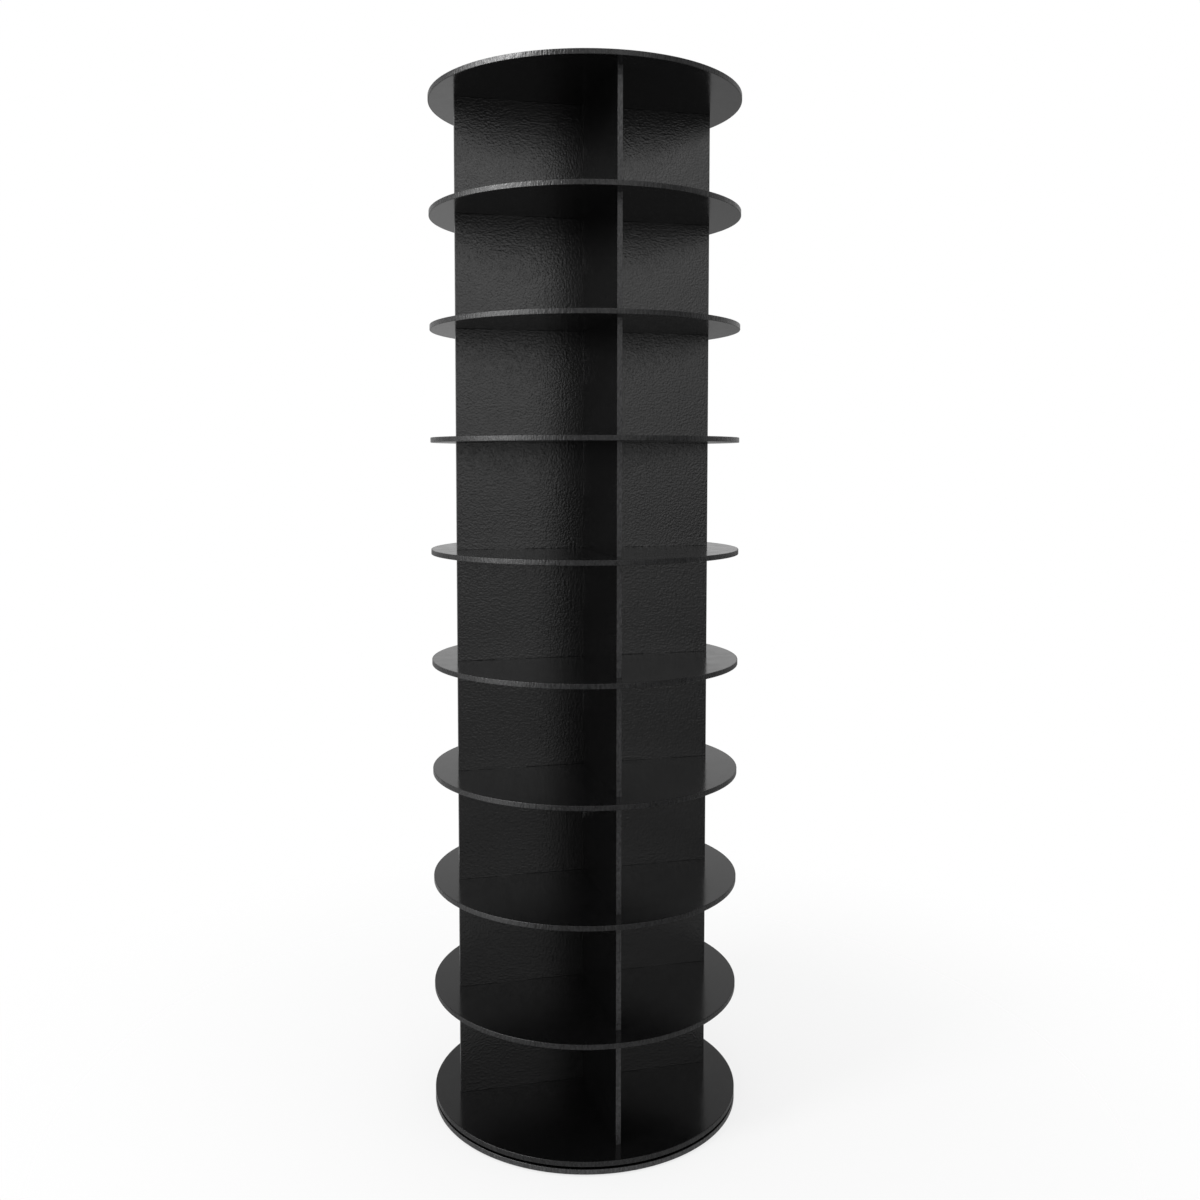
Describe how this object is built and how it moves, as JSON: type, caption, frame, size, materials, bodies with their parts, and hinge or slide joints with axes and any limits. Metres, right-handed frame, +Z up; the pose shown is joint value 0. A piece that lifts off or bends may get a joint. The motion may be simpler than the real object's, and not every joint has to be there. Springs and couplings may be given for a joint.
{
  "type": "rotating shoe tower",
  "caption": "Tall free-standing shoe tower of round black shelves and crossed divider boards, turning on a low round base.",
  "frame": {"origin": "on the floor, under the centre of the tower", "axes": "+Z up the tower; +X and +Y lie along the crossed divider boards, +X along the right-hand one in the picture and -Y along the one that points at the viewer"},
  "size_m": [0.6, 0.6, 1.9615],
  "materials": {
    "board_black": "black melamine-faced board with a fine pebbled satin face and matching edge band",
    "bearing_aluminium": "plain satin",
    "screw_steel": "zinc plated",
    "cage_nylon": "natural, with small steel balls",
    "pad_rubber": "matte black"
  },
  "bodies": {
    "base": {"foot_pad_1": "pad_rubber", "foot_pad_2": "pad_rubber", "foot_pad_3": "pad_rubber", "foot_pad_4": "pad_rubber", "foot_pad_5": "pad_rubber", "foot_pad_6": "pad_rubber", "base_disc": "board_black", "bearing_outer_ring": "bearing_aluminium", "base_ring_screw_1": "screw_steel", "base_ring_screw_2": "screw_steel", "base_ring_screw_3": "screw_steel", "base_ring_screw_4": "screw_steel"},
    "ball_cage": {"bearing_ball_cage": "cage_nylon"},
    "tower": {"bottom_disc": "board_black", "bearing_inner_ring": "bearing_aluminium", "disc_ring_screw_1": "screw_steel", "disc_ring_screw_2": "screw_steel", "disc_ring_screw_3": "screw_steel", "disc_ring_screw_4": "screw_steel", "tier_1_divider_a": "board_black", "tier_1_divider_b": "board_black", "tier_2_divider_a": "board_black", "tier_2_divider_b": "board_black", "tier_3_divider_a": "board_black", "tier_3_divider_b": "board_black", "tier_4_divider_a": "board_black", "tier_4_divider_b": "board_black", "tier_5_divider_a": "board_black", "tier_5_divider_b": "board_black", "tier_6_divider_a": "board_black", "tier_6_divider_b": "board_black", "tier_7_divider_a": "board_black", "tier_7_divider_b": "board_black", "tier_8_divider_a": "board_black", "tier_8_divider_b": "board_black", "tier_9_divider_a": "board_black", "tier_9_divider_b": "board_black", "shelf_disc_1": "board_black", "shelf_disc_2": "board_black", "shelf_disc_3": "board_black", "shelf_disc_4": "board_black", "shelf_disc_5": "board_black", "shelf_disc_6": "board_black", "shelf_disc_7": "board_black", "shelf_disc_8": "board_black", "top_disc": "board_black"}
  },
  "joints": [
    {"name": "tower_spin", "type": "hinge", "parent": "base", "child": "tower", "pos_m": [0, 0, 0.01475], "axis": [0, 0, 1], "continuous": true},
    {"name": "cage_spin", "type": "hinge", "parent": "base", "child": "ball_cage", "pos_m": [0, 0, 0.01475], "axis": [0, 0, 1], "continuous": true}
  ],
  "couplings": [
    {"joint": "cage_spin", "follows": "tower_spin", "ratio": 0.495}
  ]
}
